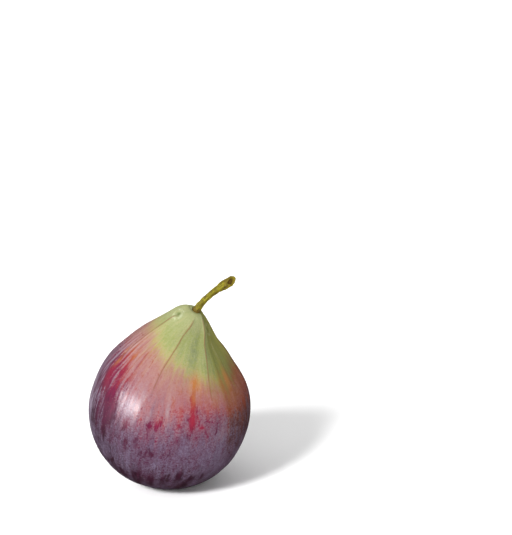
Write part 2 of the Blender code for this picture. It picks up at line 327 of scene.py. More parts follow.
def skin_grid():
    """Rows of points of the smooth fruit, from the eye's pit to the socket, with their angles and radii.

    A row is a circle of the profile's radius about the row's centre. On the neck the centre moves from
    the fig's axis to the stalk's foot, and a little further right where the neck bends left, so that a
    column stays straight. Each point there takes its height from its distance to the axis.
    """
    profile = body_profile(math.asin((PIT_RADIUS + PIT_LIP) / BELLY_RADIUS))
    along = walk(profile)
    upper = profile[:, 1] > NARROWING
    last = np.interp(-SOCKET_RADIUS, -profile[upper, 0], along[upper])
    stations = np.linspace(0.0, last, int(last / ROW_STEP))
    radius = np.interp(stations, along, profile[:, 0])
    height = np.interp(stations, along, profile[:, 1])

    pit = [(PIT_RADIUS + out, EYE_DEPTH - BELLY_RADIUS + up) for out, up in PIT_FLOOR]
    pit = np.array(pit + [(PIT_RADIUS + out, height[0] + up) for out, up in PIT_WALL])
    radius = np.concatenate((pit[:, 0], radius))
    height = np.concatenate((pit[:, 1], height))
    stations = np.concatenate((np.linspace(-2.0, -0.3, len(pit)), stations))

    turn = np.linspace(0.0, FULL_TURN, COLUMNS, endpoint=False)
    heading = turn + TWIST * smooth(TWIST_START, TWIST_FULL, height)[:, None]
    moved = smooth(FOCUS_START, FOCUS_FULL, height)
    unbent = NECK_BEND * bell(height - NECK_BEND_HEIGHT, NECK_BEND_REACH)
    centre_x = moved * (STALK_FOOT[0] + unbent)
    centre_y = moved * STALK_FOOT[1]
    x = centre_x[:, None] + radius[:, None] * np.sin(heading)
    y = centre_y[:, None] - radius[:, None] * np.cos(heading)
    from_axis = np.hypot(x, y)
    neck = np.interp(-from_axis, -profile[upper, 0], profile[upper, 1])
    z = np.where(height[:, None] > FOCUS_START, neck, height[:, None])
    points = np.stack((x, y, z), -1)
    return points, np.broadcast_to(turn, x.shape), np.broadcast_to(radius[:, None], x.shape), stations


def grid_normals(points):
    """Outward unit normals, from the directions along the rows and across them."""
    along_row = np.roll(points, -1, axis=1) - np.roll(points, 1, axis=1)
    across_rows = np.gradient(points, axis=0)
    normals = np.cross(along_row, across_rows)
    return normals / np.linalg.norm(normals, axis=-1, keepdims=True)


# The skin's relief

FRONT_RIBS = (-66.5, -17.5, 35.0, 92.0)
BACK_RIB_COUNT = 2
RIB_HEIGHT = 0.75
RIB_GROOVE = 0.3
RIB_HALF_WIDTH = math.radians(9.0)
RIB_CROWDING = 11.0
RIB_HEIGHTS = (-14.0, 14.0, TIP_HEIGHT - 4.0, TIP_HEIGHT - 0.5)
VEIN_HEIGHT = 0.11
VEIN_HALF_WIDTH = 0.3
CHEEK_DEPTH = 0.25
CHEEK_ANGLE = math.radians(10.0)
CHEEK_START = (5.0, 11.0)  # distance from the axis
SCAR_ANGLES = (math.radians(-61.0), math.radians(76.0), math.radians(188.0))
SCAR_STRENGTHS = (1.0, 0.45, 0.7)
SCAR_DISTANCE = 5.8
SCAR_DENT = 0.42
SCAR_LIP = 0.16

# The neck is fuller on its right flank, under the bend
FLANK_RISE = 0.8
FLANK_ANGLE = math.radians(100.0)
FLANK_HALF_WIDTH = math.radians(35.0)
FLANK_HEIGHT = 23.5
FLANK_REACH = 4.5

# Waves round the belly: counts in a turn, amplitude, and how far their phases sway
LUMPS = ((2, 3, 4, 5, 6, 7), 0.10, 1.2)
RIPPLES = (range(17, 40, 3), 0.042, 0.7)
FINE_RIPPLES = (range(44, 84, 4), 0.017, 1.0)
WAVES_HEIGHTS = (-25.0, -15.0, 22.0, 33.0)
VEIN_HEIGHTS = (13.0, 21.0, 35.5, 37.5)

# A crease round the stalk's foot and a low swelling outside it: distance, rise and reach
COLLAR = ((SOCKET_RADIUS, -0.45, 0.45), (2.5, 0.12, 0.8))

# Humps on the tip: angle round the stalk, distance from its foot, rise and reach
TIP_HUMPS = (
    (-80.0, 3.1, 0.28, 1.0),
    (-38.0, 3.6, 0.2, 1.1),
    (-120.0, 3.4, 0.2, 1.1),
    (35.0, 3.2, 0.16, 1.0),
    (150.0, 3.4, 0.2, 1.2),
)
TIP_START = 20.0


def rib_angles():
    """Six ribs: those at the front, then the others, evenly spaced."""
    first = FRONT_RIBS[-1]
    step = (FRONT_RIBS[0] + 360.0 - first) / (BACK_RIB_COUNT + 1)
    back = [first + step * i for i in range(1, BACK_RIB_COUNT + 1)]
    return np.radians((*FRONT_RIBS, *back))


def rib_relief(turn, points):
    """Each rib is 1 / (1 + (angle / half width)^2), high on the neck and gone on the lower belly."""
    height = points[..., 2]
    angles = rib_angles()
    ridges = sum(1.0 / (1.0 + (turn_between(turn, rib) / RIB_HALF_WIDTH) ** 2) for rib in angles)
    room = np.minimum(1.0, np.hypot(points[..., 0], points[..., 1]) / RIB_CROWDING)
    return RIB_HEIGHT * between(height, *RIB_HEIGHTS) * room * (ridges - RIB_GROOVE)


def vein_distance(turn, radius):
    """Distance in mm along the row to the nearest rib's crest."""
    return np.min([np.abs(turn_between(turn, rib)) for rib in rib_angles()], axis=0) * radius


def cheek_relief(points):
    """cos(2 angle) over the belly: flatter in front and behind than at the sides."""
    from_axis = np.hypot(points[..., 0], points[..., 1])
    share = np.where(points[..., 2] < 0.0, smooth(*CHEEK_START, from_axis), 1.0)
    around = np.arctan2(points[..., 0], -points[..., 1])
    return -CHEEK_DEPTH * share * np.cos(2.0 * (around - CHEEK_ANGLE))


def flank_relief(points):
    """A bell curve of the angle times one of the height."""
    around = turn_between(np.arctan2(points[..., 0], -points[..., 1]), FLANK_ANGLE)
    return FLANK_RISE * bell(around, FLANK_HALF_WIDTH) * bell(points[..., 2] - FLANK_HEIGHT, FLANK_REACH)


def waves(rng, turn, height, counts, amplitude, sway):
    """Sum of cosines round the fig, whose phases sway slowly with height."""
    total = np.zeros(turn.shape)
    for count in counts:
        phase, shift = rng.uniform(0.0, FULL_TURN, 2)
        length = rng.uniform(7.0, 16.0)
        swing = sway * np.sin(height / length + shift)
        fade = 0.55 + 0.45 * np.sin(height / (0.8 * length) + phase)
        total += fade * np.cos(count * turn + phase + swing)
    return amplitude * total / math.sqrt(len(counts))


def skin_relief(points, turn, radius):
    """How far each point moves out: ribs, veins, cheeks, flank, lumps, ripples, scars and collar."""
    rng = np.random.default_rng(21)
    height = points[..., 2]
    swells = sum(waves(rng, turn, height, *kind) for kind in (LUMPS, RIPPLES, FINE_RIPPLES))
    veins = between(height, *VEIN_HEIGHTS) * bell(vein_distance(turn, radius), VEIN_HALF_WIDTH)
    raised = rib_relief(turn, points) + cheek_relief(points) + flank_relief(points) + VEIN_HEIGHT * veins
    raised += between(height, *WAVES_HEIGHTS) * swells
    return raised + scar_relief(points) + collar_relief(points)


def scars(points, width, reach):
    """A bell curve about a ring round each scar near the tip, where small bracts fell off.

    The ring's radius is the reach, 0 for the scar's middle. The first scar is the freshest.
    """
    x, y, height = np.moveaxis(points, -1, 0)
    total = np.zeros(height.shape)
    for angle, strength in zip(SCAR_ANGLES, SCAR_STRENGTHS):
        across = x - STALK_FOOT[0] - SCAR_DISTANCE * math.sin(angle)
        along = y - STALK_FOOT[1] + SCAR_DISTANCE * math.cos(angle)
        total += strength * bell(np.hypot(across, along) - reach, width)
    return np.where(height > 0.0, total, 0.0)


def scar_relief(points):
    """A dent at each scar, with a low lip round it."""
    return SCAR_LIP * scars(points, 0.45, 1.2) - SCAR_DENT * scars(points, 0.65, 0.0)


def collar_relief(points):
    """A crease round the stalk's foot, a low swelling outside it, and humps on the swelling."""
    x, y, height = np.moveaxis(points, -1, 0)
    across = x - STALK_FOOT[0]
    along = y - STALK_FOOT[1]
    from_foot = np.hypot(across, along)
    total = sum(rise * bell(from_foot - distance, width) for distance, rise, width in COLLAR)
    for angle, distance, rise, width in TIP_HUMPS:
        hump_x = distance * math.sin(math.radians(angle))
        hump_y = -distance * math.cos(math.radians(angle))
        total += rise * bell(np.hypot(across - hump_x, along - hump_y), width)
    return np.where(height > TIP_START, total, 0.0)


# The skin's colours

# Where the green of the neck ends: angle round the fig, and height
GREEN_EDGE = (
    (-170.0, 27.0), (-140.0, 29.0), (-105.0, 31.5), (-80.0, 31.0), (-66.0, 31.0), (-50.0, 29.5),
    (-38.0, 27.5), (-20.0, 26.2), (0.0, 24.4), (15.0, 22.4), (28.0, 21.2), (42.0, 20.6),
    (56.0, 19.8), (70.0, 21.5), (90.0, 24.0), (115.0, 22.0), (140.0, 25.0), (165.0, 23.0),
)

# Where the red turns to purple
PURPLE_EDGE = (
    (-170.0, 12.0), (-140.0, 14.0), (-110.0, 17.0), (-85.0, 20.0), (-68.0, 19.0), (-54.0, 14.0),
    (-42.0, 9.5), (-25.0, 7.5), (-5.0, 7.0), (12.0, 8.0), (25.0, 8.5), (40.0, 9.0),
    (60.0, 9.5), (80.0, 11.0), (100.0, 13.0), (130.0, 11.0), (160.0, 10.0),
)
EDGE_SHARPNESS = 60.0

# How ripe the skin is: steps by the depth below each edge, in mm
RIPE_BELOW_GREEN = ((0.36, -4.0, 5.0), (0.14, 2.0, 13.0))
RIPE_BELOW_RED = ((0.25, -8.0, 9.0), (0.25, 2.0, 26.0))

# How much bloom lies on the skin: steps by ripeness and by height
BLOOM_LEAST = 0.20
BLOOM_BY_RIPENESS = ((0.18, 0.2, 0.42), (-0.02, 0.46, 0.78))
# The two steps down from -8 mm take bloom off the lower belly and darken it: partly painted shade under
# the belly
BLOOM_BY_HEIGHT = ((0.16, 31.5, 37.0), (-0.12, -8.0, -26.0), (-0.02, -8.0, -14.0))

# How much less bloom the left shoulder, the brown flank and the neck's right side have
SHOULDER_THINNER = 0.30
FLANK_THINNER = 0.28
NECK_THINNER = 0.12

# Ranges of the angle in degrees: the brown flank, and the right side
FLANK_TURN = (45.0, 53.0, 110.0, 135.0)
RIGHT_TURN = (34.0, 44.0, 120.0, 150.0)
VEIN_COLOUR_HEIGHTS = (14.0, 19.0, 35.3, 37.0)

# Soft ovals: angle, height, half width and half length in mm, and slant in mm
LOWER_LEFT = (-50.0, -10.0, 13.0, 11.0, 0.0)
LEFT_SHOULDER = (-62.0, 9.0, 12.0, 15.0, 0.0)
# Along the two left rims: partly bloom, partly a painted reflection along the edge
LEFT_RIM = (-72.0, 9.0, 6.5, 14.0, 0.0)
FAR_RIM = (-90.0, 1.0, 7.0, 17.0, 0.0)
# A painted highlight: paler purple skin under the lamp's highlight
PAINTED_HIGHLIGHT = (-34.0, 10.5, 4.6, 6.5, 0.0)
BLOTCHED = (-30.0, -6.0, 17.0, 7.5, 0.0)

# Ovals that are added up, each with its strength: where the skin is riper, and where it has more bloom,
# some of which is painted light
RIPER = (
    (*LOWER_LEFT, 0.08),
    (-55.0, 6.0, 7.0, 11.0, 0.0, -0.03),
    (30.0, 11.0, 8.0, 7.0, 0.0, 0.06),
)
BLOOMIER = (
    (35.0, -2.0, 16.0, 11.0, 0.0, 0.07),
    (-22.0, 20.0, 10.0, 8.0, 0.0, 0.05),
    # Less bloom on the band left of the third rib: painted shade, with the darker green there
    (20.0, 30.5, 3.2, 4.0, 0.0, -0.10),
    (32.0, 14.0, 9.0, 7.0, 0.0, -0.09),
    # The two left rims: partly bloom, partly a painted reflection along the edge
    (*FAR_RIM, 0.30),
    (*LEFT_RIM, 0.10),
    (*LOWER_LEFT, 0.10),
    # Under the lamp's highlight: a painted highlight
    (*PAINTED_HIGHLIGHT, 0.22),
    (-53.0, 8.5, 4.0, 10.0, 0.0, -0.10),
    (29.0, 12.0, 8.0, 6.5, 0.0, -0.08),
    (9.0, 10.0, 4.0, 6.0, 0.0, -0.06),
    (48.0, 0.0, 20.0, 12.0, 0.0, 0.09),
)

# Marks: ovals with their strengths, of which the strongest counts.
# Where the bloom is rubbed off: streaks on the left shoulder, a drip in front, and blotches below
RUBBED = (
    (-54.0, 18.8, 1.5, 5.8, -0.3, 1.3),
    (-64.5, 15.0, 2.6, 6.5, -1.7, 1.4),
    (-68.0, 9.0, 6.0, 10.0, -1.0, 0.42),
    (-74.0, 9.0, 1.2, 6.0, -0.8, 0.9),
    (-49.5, 7.0, 3.0, 7.0, -2.2, 1.6),
    (-57.0, 3.0, 3.0, 5.0, -0.8, 0.6),
    (-45.0, 25.0, 0.7, 2.8, 0.3, 0.6),
    (-49.0, -2.2, 1.5, 2.2, 0.0, 1.0),
    (-30.3, 4.6, 1.5, 2.6, 0.0, 0.95),
    (-19.5, 1.5, 1.0, 3.4, 0.5, 0.75),
    (-7.5, 8.0, 2.3, 3.8, 1.6, 0.9),
    (-12.3, 2.7, 2.0, 2.2, 0.0, 0.6),
    (-27.6, -2.5, 1.0, 3.0, 0.0, 0.7),
    (-9.0, -2.9, 2.2, 2.0, 0.0, 0.75),
    (-41.0, -12.5, 2.4, 4.6, 0.0, 0.6),
    (-33.0, -16.5, 3.2, 3.2, 0.0, 0.75),
    (-16.4, -15.3, 2.8, 4.6, 0.0, 0.9),
    (-5.1, -15.2, 2.6, 4.2, 0.0, 0.95),
    (7.2, -13.6, 2.4, 3.0, 0.0, 0.85),
    (16.4, -11.5, 2.0, 4.6, 0.0, 0.95),
    (28.6, -12.8, 2.4, 2.4, 0.0, 0.9),
    (36.8, -12.0, 1.8, 2.4, 0.0, 0.8),
    (24.5, -16.8, 3.2, 3.4, 0.0, 1.0),
    (18.0, 15.0, 1.25, 6.0, 0.0, 1.5),
    (18.4, 10.6, 1.2, 3.6, 0.0, 1.6),
    (19.5, 20.0, 2.4, 2.8, 0.0, 1.0),
    (25.6, 8.3, 1.4, 0.6, 0.0, 1.2),
    (15.5, 5.6, 1.2, 1.8, 0.0, 0.65),
    (8.2, 3.4, 1.6, 1.6, 0.0, 0.55),
    (5.1, -0.8, 0.9, 2.4, 0.0, 0.65),
    (37.8, 7.9, 0.7, 2.4, 0.3, 0.7),
)

# Where the skin is bright crimson
CRIMSON = (
    (-54.0, 19.0, 1.6, 5.0, -0.3, 0.5),
    (-64.5, 15.5, 2.2, 6.0, -1.7, 0.5),
    (-30.3, 4.8, 1.6, 2.4, 0.0, 0.15),
    (-7.5, 8.6, 2.6, 3.6, 1.6, 0.2),
    (18.0, 14.5, 1.3, 4.0, 0.0, 0.55),
    (18.4, 10.6, 1.5, 3.2, 0.0, 0.9),
    (25.6, 8.3, 1.4, 0.8, 0.0, 0.6),
    (8.0, 14.0, 3.6, 4.5, 0.0, 0.55),
)

# Where the bloom lies thicker, and a few painted highlights and painted reflections as marked
DUSTED_AND_SHEEN = (
    (-1.5, 12.0, 0.8, 6.0, -0.6, 0.35),
    # Two painted highlights: pale spots beside the lamp's highlight
    (-22.5, 14.5, 1.0, 1.6, 0.0, 0.30),
    (-14.3, 9.9, 0.9, 1.6, 0.0, 0.25),
    # Partly bloom, partly a painted reflection along the left rim
    (-70.0, -1.0, 1.6, 7.0, 0.6, 0.30),
    (-78.0, 8.0, 0.8, 5.0, 0.3, 0.30),
    (-24.0, 14.5, 0.9, 4.0, -0.4, 0.15),
    (45.0, 4.8, 3.8, 3.6, 0.0, 0.20),
    (63.0, 27.0, 2.0, 5.0, 0.0, 0.35),
    (-24.5, -9.0, 0.8, 5.0, 0.0, 0.22),
    (13.3, -12.5, 0.9, 4.0, 0.0, 0.25),
    (-3.0, -8.0, 1.6, 3.4, 0.0, 0.18),
)

# Where the red is orange
ORANGE = (
    (18.4, 20.6, 2.4, 2.6, 0.0, 1.0),
    (23.5, 19.8, 1.8, 1.5, 0.0, 0.7),
    (18.4, 17.2, 0.9, 2.2, 0.0, 0.5),
    (-68.0, 22.4, 1.0, 1.7, 0.0, 0.8),
    (-65.5, 18.7, 0.9, 1.5, 0.0, 0.6),
    (-54.5, 22.5, 0.9, 1.5, 0.0, 0.6),
    (52.0, 19.5, 1.6, 2.6, 0.0, 0.5),
    (62.0, 20.0, 1.8, 2.4, 0.0, 0.75),
    (-161.0, 20.0, 2.2, 3.4, 0.0, 0.6),
    (131.0, 18.0, 1.6, 3.0, 0.0, 0.6),
)

# Where the green is greyer and darker: partly the skin's own tone, partly painted shade in the neck's
# valleys beside the ribs and on its right side
DULLED_AND_SHADED = (
    (13.0, 28.5, 4.5, 6.0, 0.0, 0.8),
    (2.0, 33.0, 7.0, 3.0, 0.0, 0.25),
    (38.0, 27.5, 6.0, 5.0, 0.0, 0.45),
    (33.0, 24.0, 1.2, 4.5, 0.0, 0.5),
    (45.0, 23.5, 1.5, 4.0, 0.0, 0.5),
    (54.0, 26.0, 2.6, 7.0, 0.0, 0.6),
    (72.0, 25.0, 3.0, 6.0, 0.0, 0.5),
    (-9.0, 28.0, 1.6, 2.4, 0.0, 0.3),
    (-24.0, 32.0, 3.0, 3.0, 0.0, 0.3),
    (30.0, 25.0, 2.6, 2.4, 0.0, 0.3),
    (150.0, 28.0, 9.0, 6.0, 0.0, 0.4),
)


def strewn(seed, count, heights):
    """Marks at random places on the sides and the back, as rows like those above."""
    rng = np.random.default_rng(seed)
    rows = []
    for _ in range(count):
        angle, height = rng.uniform(85.0, 275.0), rng.uniform(*heights)
        width, length = rng.uniform(1.0, 2.8), rng.uniform(2.0, 5.5)
        rows.append((angle, height, width, length, rng.uniform(-0.6, 0.6), rng.uniform(0.5, 0.95)))
    return tuple(rows)


def round_mean(turn, stations, sharpness):
    """A smooth curve round the fig: a mean with the weights exp(sharpness (cos(angle apart) - 1))."""
    angles, values = np.radians([s[0] for s in stations]), np.array([s[1] for s in stations])
    weights = np.exp(sharpness * (np.cos(turn[..., None] - angles) - 1.0))
    return (weights * values).sum(-1) / weights.sum(-1)


def patch(turn, height, angle, level, half_width, half_length, slant):
    """A soft oval on the belly, in mm: 1 in the middle, about a third at its half width and length."""
    down = (height - level) / half_length
    across = (turn_between(turn, math.radians(angle)) * BELLY_RADIUS - slant * down) / half_width
    return bell(np.hypot(across, down), 1.0)


def added(turn, height, rows):
    """The sum of the rows' ovals, each times its strength."""
    return sum(strength * patch(turn, height, *oval) for *oval, strength in rows)


def marks(turn, height, rows):
    """The strongest of the rows' ovals at each point."""
    total = np.zeros(height.shape)
    for *oval, strength in rows:
        total = np.maximum(total, strength * patch(turn, height, *oval))
    return total


def skin_fields(points, turn, radius, stations):
    """The fields that the skin's material reads, from the angle round the fig and the height."""
    height = points[..., 2]
    degrees = np.degrees(turn)
    left_shoulder, left_rim, far_rim, painted_highlight = (
        patch(turn, height, *oval) for oval in (LEFT_SHOULDER, LEFT_RIM, FAR_RIM, PAINTED_HIGHLIGHT)
    )
    below_green = round_mean(turn[0], GREEN_EDGE, EDGE_SHARPNESS) - height
    below_red = round_mean(turn[0], PURPLE_EDGE, EDGE_SHARPNESS) - height
    ripe = steps(below_green, RIPE_BELOW_GREEN) + steps(below_red, RIPE_BELOW_RED)
    ripe += added(turn, height, RIPER)
    brown = between(degrees, *FLANK_TURN) * smooth(-10.0, 4.0, height)

    bloom = BLOOM_LEAST + steps(ripe, BLOOM_BY_RIPENESS) + steps(height, BLOOM_BY_HEIGHT)
    # Some of these add painted light: a painted highlight and a painted reflection along the left rims
    bloom += added(turn, height, BLOOMIER) + marks(turn, height, DUSTED_AND_SHEEN)
    bloom -= SHOULDER_THINNER * left_shoulder * smooth(0.3, 0.5, ripe) + FLANK_THINNER * brown
    bloom -= NECK_THINNER * between(degrees, *RIGHT_TURN) * smooth(17.0, 22.0, height)
    bloom += 0.2 * marks(turn, height, strewn(31, 16, (-12.0, 12.0)))

    rubbed = np.maximum(marks(turn, height, RUBBED), marks(turn, height, strewn(17, 34, (-18.0, 15.0))))
    # The first term: more bare skin towards the bottom, which darkens it: partly painted shade under the
    # belly
    rubbed += 0.14 * smooth(-8.0, -14.0, height) + 0.26 * patch(turn, height, *BLOTCHED)
    flow = (BELLY_RADIUS * np.sin(turn), -BELLY_RADIUS * np.cos(turn), stations[:, None])
    return {
        "flow": np.stack(np.broadcast_arrays(*flow), -1),
        "ripe": ripe,
        "bloom": bloom,
        "rubbed": rubbed,
        "crimson": marks(turn, height, CRIMSON),
        "orange": marks(turn, height, ORANGE),
        "brown": brown,
        "vein": between(height, *VEIN_COLOUR_HEIGHTS) * bell(vein_distance(turn, radius), 0.22),
        # Greyer, darker green: partly painted shade on the neck
        "dulled_and_shaded": marks(turn, height, DULLED_AND_SHADED),
        "mottled": 0.85 + 1.25 * smooth(8.0, -28.0, degrees) + 0.2 * smooth(-8.0, -15.0, height),
        "wiped": 3.6 * left_shoulder + 2.4 * left_rim,
        # Pale purple over the left rims, partly bloom and partly a painted reflection, and a painted
        # highlight under the lamp's highlight
        "lilac_sheen": 0.42 * left_rim + 0.50 * far_rim + 0.50 * painted_highlight,
        # Where the scars' dents and lips are, for their painted shade and painted highlight
        "scar": scars(points, 0.5, 0.0),
        "lip": scars(points, 0.4, 1.25),
    }


# The skin without its bloom, by ripeness: on most of the fig, and on the brown flank
SKIN_COLOURS = (
    (0.00, (0.240, 0.268, 0.075)),
    (0.09, (0.290, 0.280, 0.080)),
    (0.17, (0.335, 0.255, 0.080)),
    (0.26, (0.305, 0.155, 0.068)),
    (0.36, (0.300, 0.085, 0.045)),
    (0.50, (0.240, 0.028, 0.036)),
    (0.61, (0.140, 0.008, 0.040)),
    (0.76, (0.072, 0.006, 0.030)),
    (1.00, (0.028, 0.004, 0.014)),
)
FLANK_COLOURS = (
    (0.05, (0.205, 0.200, 0.050)),
    (0.22, (0.195, 0.145, 0.050)),
    (0.36, (0.235, 0.080, 0.034)),
    (0.52, (0.200, 0.036, 0.014)),
    (0.66, (0.085, 0.016, 0.011)),
    (0.85, (0.045, 0.010, 0.012)),
)
CRIMSON_COLOUR = (0.27, 0.018, 0.036)
ORANGE_COLOUR = (0.41, 0.15, 0.042)
# Greyer, darker green: partly painted shade in the neck's valleys and on its right side
DULL_SHADE_COLOUR = (0.11, 0.135, 0.055)
SPECK_COLOUR = (0.42, 0.38, 0.30)
# A painted highlight on each scar's raised lip, and painted shade in its dent
LIP_HIGHLIGHT_COLOUR = (0.52, 0.56, 0.36)
DENT_SHADE_COLOUR = (0.075, 0.12, 0.025)
VEIN_COLOUR = (0.22, 0.085, 0.045)

# The bloom's colour over green skin, and the colours it turns to between two values of ripeness
BLOOM_COLOUR = (0.43, 0.44, 0.29)
BLOOM_TURNS = (
    (0.05, 0.28, (0.44, 0.35, 0.33)),
    (0.26, 0.46, (0.38, 0.27, 0.27)),
    (0.42, 0.85, (0.155, 0.117, 0.182)),
)
# Pale purple for the left rims, partly a painted reflection, and for the painted highlight
SHEEN_LILAC_COLOUR = (0.42, 0.34, 0.42)

# Patterns drawn out along the skin, and fine ones in the solid: scale, detail, roughness and distortion
STREAKS = ((0.6, 0.6, 0.10), 4.0, 0.55, 0.3)
FIBRES = ((1.6, 1.6, 0.30), 3.0, 0.55, 0.2)
MOTTLES = ((0.38, 0.38, 0.26), 4.0, 0.62, 0.2)
WIPES = ((0.85, 0.85, 0.09), 5.0, 0.62, 0.2)
CREASES = ((0.32, 0.32, 0.12), 1.0, 0.5, 0.3)
GRAINS = (1900.0, 2.0, 0.7)
DUST = (1000.0, 3.0, 0.65)
SPECKS = 1100.0

# What the weighted patterns come to on average, and how far along them the bloom is rubbed off
RIPE_MEAN = 0.37
TEXTURE_MEAN = 2.05
RUBBED_RANGE = (3.35, 4.05)


def skin_finish():
    """Ripe colours under a pale bloom that is wiped off in streaks, with fine speckles and pores."""
    made = Finish("fig_skin_fine")
    flow = made.field("flow", "Vector")
    place = made.place()
    ripeness = made.field("ripe")
    streaks, fibres, mottles = (made.drawn(flow, pattern) for pattern in (STREAKS, FIBRES, MOTTLES))
    grains, dust = made.noise(place, *GRAINS), made.noise(place, *DUST)

    ripe = made.weighted(ripeness, (streaks, 0.34), (fibres, 0.12), (grains, 0.10), (mottles, 0.20))
    ripe = made.maths("SUBTRACT", ripe, RIPE_MEAN, clamp=True)
    deep = made.mix(made.field("crimson"), made.ramp(ripe, SKIN_COLOURS), CRIMSON_COLOUR)
    deep = made.mix(made.field("brown"), deep, made.ramp(ripe, FLANK_COLOURS))
    deep = made.mix(made.field("orange"), deep, ORANGE_COLOUR)
    # Greyer, darker green: partly painted shade in the neck's valleys and on its right side
    dulled_and_shaded = made.maths("MULTIPLY", made.field("dulled_and_shaded"), made.spread(dust, 0.40, 0.60, 0.4, 1.0))
    deep = made.mix(dulled_and_shaded, deep, DULL_SHADE_COLOUR)

    texture = made.maths("MULTIPLY", streaks, 0.6)
    texture = made.weighted(texture, (mottles, 1.2), (dust, 0.9), (grains, 1.4))
    texture = made.maths("SUBTRACT", texture, TEXTURE_MEAN)
    contrast = made.spread(ripeness, 0.36, 0.72, 0.40, 1.15)
    contrast = made.maths("MULTIPLY", made.field("mottled"), contrast)
    wipes = made.maths("SUBTRACT", made.drawn(flow, WIPES), 0.5)
    wipes = made.maths("MULTIPLY", wipes, made.field("wiped"))
    texture = made.maths("MULTIPLY_ADD", texture, contrast, wipes)
    bloom = made.maths("ADD", texture, made.field("bloom"), clamp=True)
    rubbed = made.weighted(made.field("rubbed"), (mottles, 3.2), (fibres, 1.4), (dust, 1.4))
    rubbed = made.spread(rubbed, *RUBBED_RANGE)
    bloom = made.maths("MULTIPLY", bloom, made.maths("MULTIPLY_ADD", rubbed, -0.97, 1.0))
    haze = BLOOM_COLOUR
    for start, full, colour in BLOOM_TURNS:
        haze = made.mix(made.spread(ripe, start, full), haze, colour)
    # Pale purple: on the left rims partly a painted reflection, and a painted highlight under the lamp's
    # highlight
    haze = made.mix(made.field("lilac_sheen"), haze, SHEEN_LILAC_COLOUR)
    colour = made.mix(bloom, deep, haze)

    specks = made.spread(made.cells(place, SPECKS), 0.08, 0.22, 0.15, 0.0)
    colour = made.mix(specks, colour, SPECK_COLOUR)
    # Painted highlight: pale spots on each scar's raised lip
    lip = made.maths("MULTIPLY", made.field("lip"), made.spread(dust, 0.42, 0.58, 0.0, 0.55))
    colour = made.mix(lip, colour, LIP_HIGHLIGHT_COLOUR)
    # Painted shade: dark green in each scar's dent
    dent = made.maths("MULTIPLY", made.field("scar"), 0.85)
    colour = made.mix(dent, colour, DENT_SHADE_COLOUR)
    vein = made.maths("MULTIPLY", made.field("vein"), made.spread(fibres, 0.3, 0.5, 0.35, 0.8))
    colour = made.mix(vein, colour, VEIN_COLOUR)

    # Duller on the green neck, on the purple belly, under bloom and on the brown flank
    rough = made.maths("MULTIPLY_ADD", bloom, 0.14, 0.23)
    rough = made.maths("ADD", rough, made.spread(ripeness, 0.6, 0.8, 0.0, 0.2))
    rough = made.maths("ADD", rough, made.spread(ripeness, 0.10, 0.34, 0.26, 0.0))
    rough = made.weighted(rough, (made.field("brown"), 0.3))
    creased = made.spread(ripeness, 0.15, 0.45, 0.15, 1.0)
    normal = made.bump(made.maths("MULTIPLY", made.drawn(flow, CREASES), creased), 0.0005, 0.4)
    normal = made.bump(made.maths("MULTIPLY_ADD", dust, 0.6, grains), 0.00006, 0.5, normal)
    return made.surface(colour, rough, normal, specular=0.15)


def make_skin():
    """The fruit's skin: the smooth grid, moved out by the relief, leaned, and flat where it rests."""
    points, turn, radius, stations = skin_grid()
    fields = skin_fields(points, turn, radius, stations)
    shaped = points + grid_normals(points) * skin_relief(points, turn, radius)[..., None]
    shaped[..., 0] -= NECK_BEND * bell(points[..., 2] - NECK_BEND_HEIGHT, NECK_BEND_REACH)

    heading = LEAN.T @ stalk_heading(np.zeros(1))[0]
    rim = shaped[-1]
    middle = rim.mean(axis=0)
    walls = [middle + (rim - middle) * SOCKET_TAPER - heading * depth for depth in SOCKET_DEPTHS]
    shaped = np.concatenate((shaped, walls))
    for label, field in fields.items():
        fields[label] = np.concatenate((field, np.repeat(field[-1:], len(walls), axis=0)))

    world = stand_up(shaped)
    low = world[..., 2]
    world[..., 2] = 0.5 * (low + np.sqrt(low**2 + REST_BLEND**2))
    skin = tube_object("fruit_skin", world, fields, skin_finish())
    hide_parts("fruit")


# The stalk

STALK_LENGTH = 15.6
STALK_RADIUS = 1.03
STALK_START_SLOPE = math.radians(58.0)
STALK_END_SLOPE = math.radians(31.0)
STALK_FORWARD = math.radians(8.0)
STALK_ROWS = 190
STALK_COLUMNS = 96

# Share of the length, and the radius there as a share of STALK_RADIUS
STALK_SWELL = (
    (0.0, 1.2), (0.1, 1.15), (0.25, 1.0), (0.45, 0.97), (0.62, 1.08), (0.85, 1.55), (1.0, 1.5),
)

# The rings below the stalk's foot, in its socket
ROOT_DEPTHS = (2.5, 1.6, 0.8, 0.3)

# From CUT_START on, the rings slant towards the cut. The cut's own rings are shares of its radius.
CUT_START = 0.78
CUT_RINGS = (0.97, 0.9, 0.8, 0.7, 0.62, 0.54, 0.45, 0.33, 0.2, 0.08)
CUT_DEPTH = 0.34
CUT_LIP = 0.05

# The bark's lengthwise ridges: height as a share of the radius, count, twist and phase
BARK_RIDGES = ((0.035, 5.0, 1.4, 0.4), (0.022, 9.0, -2.0, 1.0), (0.014, 14.0, 3.0, 0.0))
BARK_WRINKLES = 7
BARK_BUMPS = 16


def stalk_heading(share):
    """The stalk's direction in the world, at a share of its length: steep first, then leaning out."""
    left = 1.0 - np.clip(share, 0.0, 1.0)
    slope = STALK_END_SLOPE + (STALK_START_SLOPE - STALK_END_SLOPE) * left**1.5
    right = np.cos(slope) * math.cos(STALK_FORWARD)
    forward = np.cos(slope) * math.sin(STALK_FORWARD)
    return np.stack((right, -forward, np.sin(slope)), -1)


